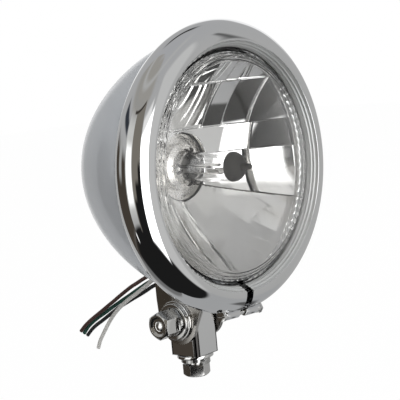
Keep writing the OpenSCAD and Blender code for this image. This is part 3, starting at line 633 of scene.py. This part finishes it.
def make_reflector():
    """The cells, the turned parts and the beads as one piece, with a hazy field low in the bowl and
    a painted shadow line under the sloped step.
    """
    bm = bmesh.new()
    for cells, kind in ((PLAIN_CELLS, "plain"), (ROW_CELLS, "row"), (LOWER_CELLS, "lower")):
        for cell in cells:
            for side in (-1, 1):
                absorb(bm, pressed(cell, side, kind))
    for profile in turned_parts():
        absorb(bm, solid(*revolved(profile, 240)))
    absorb(bm, solid(*mouth_beads()))
    o = add_mesh("reflector_cells", bm, (MIRROR, MIRROR_LOW, STEP_PAINTED_SHADOW), 50,
                 "reflector")
    for face in o.data.polygons:
        across, height = abs(face.center.x) / MM, face.center.z / MM - AXIS_H
        under_step = -LOWER_START - CUT * across - height
        # painted shadow: the faces in a thin strip just under the sloped step get the dark finish
        if 0 < under_step < STRIP_W and STRIP_START < across < MOUTH_R - 1:
            face.material_index = 2
        elif height < -LOWER_START and face.center.y > (0.5 - RING_FWD) * MM:
            face.material_index = 1


make_reflector()


# ---------------------------------------------------------------- hardware with rounded edges
def rounded_copy(name, mat, slot, width, body):
    """A copy of a CAD node with its flat faces made whole and its edges rounded; on the chrome
    block the upright edges and their rounding are painted near black, a painted dark reflection.
    """
    mesh = NODES[name].data.copy()
    bm = bmesh.new()
    bm.from_mesh(mesh)
    bmesh.ops.remove_doubles(bm, verts=bm.verts, dist=2e-6)
    bmesh.ops.dissolve_limit(bm, angle_limit=math.radians(0.6), verts=bm.verts, edges=bm.edges)
    bmesh.ops.recalc_face_normals(bm, faces=bm.faces)
    bm.to_mesh(mesh)
    bm.free()
    smooth(mesh)
    mesh.materials.clear()
    mesh.materials.append(mat)
    if mat == CHROME:                   # the block's upright edges are painted near black, a painted dark reflection
        mesh.materials.append(PAINTED_DARK_EDGE)
        for face in mesh.polygons:
            n = face.normal
            if abs(n.x) > 0.12 and abs(n.y) > 0.12 and abs(n.z) < 0.3:
                face.material_index = 1
    o = add_object(name + "_rounded", mesh, body, name)
    edge = o.modifiers.new("edge", "BEVEL")
    edge.width = width * MM
    edge.segments = 3
    edge.limit_method = "ANGLE"
    edge.angle_limit = math.radians(30)
    edge.harden_normals = True
    edge.use_clamp_overlap = True
    # the rounding on the chrome block also takes the painted dark reflection
    edge.material = 1 if mat == CHROME else 0


HARDWARE = [                            # node, material, slot, rounding in mm, body
    ("mount_block", CHROME, "chrome_block", 1.0, "mount"),
    ("mount_bolt", BOLT, "bright_steel", 0.25, "mount"),
    ("mount_flat_washer", STEEL, "bright_steel", 0.3, "mount"),
    ("pivot_bolt", STEEL, "bright_steel", 0.25, "mount"),
    ("pivot_cap_nut", STEEL, "bright_steel", 0.25, "mount"),
    ("pivot_flat_washers", STEEL, "bright_steel", 0.4, "mount"),
    ("bracket", DARK, "chrome_bracket", 0.4, "head"),
    ("bracket_screws", STEEL, "bright_steel", 0.25, "head"),
    ("clamp_screw", STEEL, "bright_steel", 0.2, "head"),
    ("clamp_nut", STEEL, "bright_steel", 0.2, "head"),
]
for row in HARDWARE:
    rounded_copy(*row)


# ---------------------------------------------------------------- round the bulb's socket
def socket_tabs():
    """Pairs of small tabs pressed in round the glass at the socket's front."""
    glass_r, tab_half, apart, splay = 8.5, 0.55, 0.95, 3.0
    shape = [(glass_r, 27.6), (9.6, 27.4), (11.2, 29.4), (11.0, 30.6), (9.2, 29.2), (glass_r, 29.0)]
    m = len(shape)
    verts, faces = [], []
    for turn in (0, 90, 180, 270):
        for s in (-1, 1):
            base = len(verts)
            for wide in (-tab_half, tab_half):
                t = turn + math.degrees((s * apart + wide) / 9.5)
                verts += [lamp(r, t + s * (r - glass_r) * splay, d) for r, d in shape]
            for i in range(m):
                j = (i + 1) % m
                faces.append((base + i, base + j, base + m + j, base + m + i))
            faces.append(tuple(base + i for i in range(m - 1, -1, -1)))
            faces.append(tuple(base + m + i for i in range(m)))
    return verts, faces


# painted shade: a thin dark rubber ring at the rim of the bulb's opening stands in for the shade in
# the seam there
OPENING_SHADE_RING = [(19.5, 35.9), (20.1, 35.8), (20.3, 36.1), (20.3, 37.4), (19.3, 37.4)]
add_fine("socket_tabs", socket_tabs(), (TABS,), 20)
add_fine("opening_shade_ring", revolved(OPENING_SHADE_RING, 240), (RUBBER,), 40)


# ---------------------------------------------------------------- leads
def smooth_route(points, steps=4):
    """Catmull-Rom points through the given ones, in metres."""
    pts = [Vector(p) * MM for p in points]
    pts = [pts[0] * 2 - pts[1]] + pts + [pts[-1] * 2 - pts[-2]]
    out = []
    for i in range(1, len(pts) - 2):
        a, b, c, d = pts[i - 1:i + 3]
        for k in range(steps):
            u = k / steps
            out.append(0.5 * (2 * b + (c - a) * u + (2 * a - 5 * b + 4 * c - d) * u * u
                              + (3 * b - a - 3 * c + d) * u ** 3))
    out.append(pts[-2])
    return out


LEAD_ROUTES = {
    "brown": [[1.4, 21.628, 50.137], [1.4, 22.723, 48.464], [1.3, 24, 46.5], [1.1, 28.5, 45.6],
              [0.6, 33.5, 44.4], [0.2, 38.5, 42.1], [0, 43.5, 39.5], [0, 49, 36.8], [0, 54.5, 33.6],
              [0, 60.5, 30], [0, 66, 26.5], [0, 72, 22.9], [0, 78, 19.2], [0, 84, 15.6],
              [0, 90, 11.9], [0, 95.5, 8], [0, 100, 4]],
    "green": [[1.4, 19.285, 48.604], [1.4, 20.38, 46.931], [1.6, 22.5, 43.6], [2, 27, 42.5],
              [2.5, 32, 41.4], [2.5, 37, 39.4], [2.5, 42.5, 36.6], [2.5, 48, 33.7], [2.5, 54, 30.4],
              [2.5, 60, 27.3], [2.5, 66, 24.1], [2.5, 72, 20.8], [2.5, 78, 17.4], [2.5, 84, 14.2],
              [2.5, 90, 10.6], [2.5, 95.5, 6.6], [2.5, 100, 2]],
    "black": [[-1.4, 19.285, 48.604], [-1.4, 20.38, 46.931], [-1.3, 22.5, 42], [-1, 26.5, 39.8],
              [-0.6, 31, 37.8], [-0.5, 36.5, 34.9], [-0.5, 42, 32.2], [-0.5, 48, 29.4],
              [-0.5, 54, 26.5], [-0.5, 60, 23.6], [-0.5, 66, 20.2], [-0.5, 72, 16.6],
              [-0.5, 78, 13], [-0.5, 84, 9.6], [-0.5, 89, 6.1], [-0.5, 93.5, 2]],
    "white": [[-1.4, 21.628, 50.137], [-1.4, 22.723, 48.464], [-2.6, 24.6, 44.8],
              [-3.8, 27.5, 42.2], [-4.8, 31.5, 39.3], [-5, 36.5, 36.2], [-5, 42, 33],
              [-5, 47, 30.2], [-5, 51.5, 27.3], [-5, 56, 24.1], [-5, 60.5, 20.4], [-5, 65, 16],
              [-5, 69, 11.4], [-5, 73, 6.4], [-5, 77, 1], [-5, 79.5, -4]],
}


def make_lead(name, route):
    pts = smooth_route(route)
    curve = bpy.data.curves.new("lead_" + name + "_wire", "CURVE")
    curve.dimensions = "3D"
    curve.bevel_depth = LEAD_D / 2
    curve.bevel_resolution = 5
    curve.use_fill_caps = True
    line = curve.splines.new("POLY")
    line.points.add(len(pts) - 1)
    for p, q in zip(line.points, pts):
        p.co = (*q, 1)
    line.use_smooth = True
    curve.materials.append(LEADS[name])
    wire = add_object("lead_" + name + "_wire", curve, "head", "lead_" + name)


for lead_name, lead_route in LEAD_ROUTES.items():
    make_lead(lead_name, lead_route)


# ---------------------------------------------------------------- studio
def panel(t, az, el, az0, az1, el0, el1, soft_az, soft_el):
    """1 inside a window of directions, in degrees, falling to 0 over the soft margins."""
    def step(value, lo, hi):
        n = t.nodes.new("ShaderNodeMapRange")
        n.interpolation_type = "SMOOTHSTEP"
        n.inputs[1].default_value = lo
        n.inputs[2].default_value = hi
        t.links.new(value, n.inputs[0])
        return n.outputs[0]

    def window(value, lo, hi, soft):
        past = maths(t, "SUBTRACT", 1.0, step(value, hi - soft, hi + soft))
        return maths(t, "MULTIPLY", step(value, lo - soft, lo + soft), past)

    return maths(t, "MULTIPLY", window(az, az0, az1, soft_az), window(el, el0, el1, soft_el))


# Azimuth from, to, elevation from, to, softness of each, colour. Azimuth 0 is ahead of the lens,
# +90 is +X. Later ones lie over earlier ones.
STUDIO = [
    (-200, -22, 41, 86, 10, 6, (0.345, 0.333, 0.31)),         # warm ceiling over the left side
    (112, 156, 53, 60, 9, 2.5, (0.012, 0.012, 0.012)),        # a dark beam behind
    (-200, -60, 46, 52, 20, 3, (0.33, 0.325, 0.31)),          # ceiling beams
    (-200, 60, 60, 66, 30, 4, (0.46, 0.46, 0.455)),
    (5, 38, -36, 40, 3, 5, (0.56, 0.56, 0.555)),              # pale screen right of the box ahead
    (-200, 38, -95, -32, 2, 2.5, (0.012, 0.012, 0.012)),      # dark table in front and to the left
    (38, 165, -95, -30, 3, 3, (0.38, 0.385, 0.39)),           # pale table on the right
    (165, 200, -95, -32, 6, 3, (0.17, 0.17, 0.17)),           # grey table behind
    (-200, -172, -95, -32, 6, 3, (0.17, 0.17, 0.17)),
    (60, 125, -47, -40, 4, 2, (0.10, 0.10, 0.10)),            # dark edge of the pale table
    (-200, -122, -34, 12, 3, 5, (0.060, 0.050, 0.040)),       # dark room behind on the left
    (-160, -146, -2, 17, 3, 4, (0.40, 0.40, 0.39)),           # a pale door in it
    (-167, -126, 24, 33, 5, 2, (0.035, 0.04, 0.05)),          # a dark shelf over it
    (-122, -79, -24, 38, 1.5, 8, (0.62, 0.62, 0.60)),         # soft box on the left, and its core
    (-116, -84, -16, 20, 3, 6, (1.7, 1.7, 1.7)),
    (-80, -35, -36, 43, 1.5, 1.5, (0.20, 0.185, 0.16)),       # gap beside the camera
    (-96, -38, 42.5, 45, 4, 0.8, (0.04, 0.035, 0.03)),        # with a dark top
    (-48, -35, -40, 7, 1.5, 3, (0.012, 0.012, 0.012)),        # and a black cloth low in it
    (-64, -35, -40, -3, 3, 3, (0.012, 0.012, 0.012)),
    (-76, -35, -40, -14, 3, 3, (0.012, 0.012, 0.012)),
    (-32, -4, 20, 30, 1.5, 3, (0.85, 0.85, 0.84)),            # soft box ahead, brightest low down
    (-34, 5, -36, 20, 1.5, 3, (2.6, 2.6, 2.6)),
    (-130, -124, -40, -34, 1.5, 1.5, (1.2, 1.2, 1.2)),        # a small lamp low on the left
    (49, 52, 4, 30, 1.5, 4, (0.12, 0.12, 0.12)),              # a thin stand
    (104, 134, 10, 30, 4, 4, (0.95, 0.95, 0.96)),             # bright card behind on the right
    (122, 154, -16, 16, 6, 6, (1.0, 1.0, 1.0)),               # the backdrop that the camera sees
]
WHITE = (1.0, 1.0, 1.0)


def make_studio():
    """The room that metal and glass mirror. The camera itself sees plain white."""
    world = bpy.data.worlds.new("studio")
    bpy.context.scene.world = world
    world.use_nodes = True
    t = world.node_tree
    part = t.nodes.new("ShaderNodeSeparateXYZ")
    t.links.new(t.nodes.new("ShaderNodeTexCoord").outputs["Generated"], part.inputs[0])
    x, y, z = part.outputs
    az = maths(t, "DEGREES", maths(t, "ARCTAN2", x, maths(t, "MULTIPLY", y, -1.0)))
    el = maths(t, "DEGREES", maths(t, "ARCSINE", z))
    colour = ramp(t, span(t, el, -90, 90, 0, 1),
                  [(0.0, (0.36, 0.36, 0.36)), (0.45, (0.44, 0.44, 0.435)),
                   (0.6, (0.43, 0.43, 0.43)), (1.0, (0.40, 0.405, 0.42))])
    for *window, panel_colour in STUDIO:
        colour = mix(t, panel(t, az, el, *window), colour, panel_colour)
    seen = t.nodes.new("ShaderNodeLightPath").outputs["Is Camera Ray"]
    t.links.new(mix(t, seen, colour, WHITE), t.nodes["Background"].inputs["Color"])


def make_floor():
    """A plain pale floor. For the camera it is nearly all glow, with the object's shadow left."""
    depth, glow_share = 0.12, 0.985
    bm = bmesh.new()
    bmesh.ops.create_grid(bm, x_segments=2, y_segments=2, size=4.0)
    bmesh.ops.translate(bm, verts=bm.verts, vec=(0, 0, -depth))
    mesh = bpy.data.meshes.new("floor")
    bm.to_mesh(mesh)
    bm.free()
    floor = bpy.data.objects.new("floor", mesh)
    bpy.context.scene.collection.objects.link(floor)
    floor.visible_glossy = False
    floor.visible_transmission = False
    m, t, b = new_material("floor_white")
    set_inputs(b, {"Base Color": (0.9, 0.9, 0.9, 1), "Roughness": 0.9})
    glow = node(t, "ShaderNodeEmission", Color=(*WHITE, 1), Strength=1.0)
    blend = t.nodes.new("ShaderNodeMixShader")
    seen = t.nodes.new("ShaderNodeLightPath").outputs["Is Camera Ray"]
    t.links.new(maths(t, "MULTIPLY", seen, glow_share), blend.inputs[0])
    t.links.new(b.outputs[0], blend.inputs[1])
    t.links.new(glow.outputs[0], blend.inputs[2])
    t.links.new(blend.outputs[0], t.nodes["Material Output"].inputs[0])
    mesh.materials.append(m)


def area_light(name, place, power):
    """A soft square light over the object, that no mirror and no glass shows."""
    aim, size = Vector((0, 0, 0.1)), 1.2
    data = bpy.data.lights.new(name, "AREA")
    data.shape = "RECTANGLE"
    data.size = data.size_y = size
    data.energy = power
    o = bpy.data.objects.new(name, data)
    bpy.context.scene.collection.objects.link(o)
    o.location = place
    o.rotation_euler = (aim - Vector(place)).to_track_quat("-Z", "Y").to_euler()
    o.visible_glossy = False
    o.visible_transmission = False
    o.visible_camera = False


make_studio()
make_floor()
area_light("key", (-1.0, -1.6, 1.9), 30)
area_light("fill", (1.7, -0.8, 1.2), 12)

bpy.context.scene.view_settings.view_transform = "Standard"
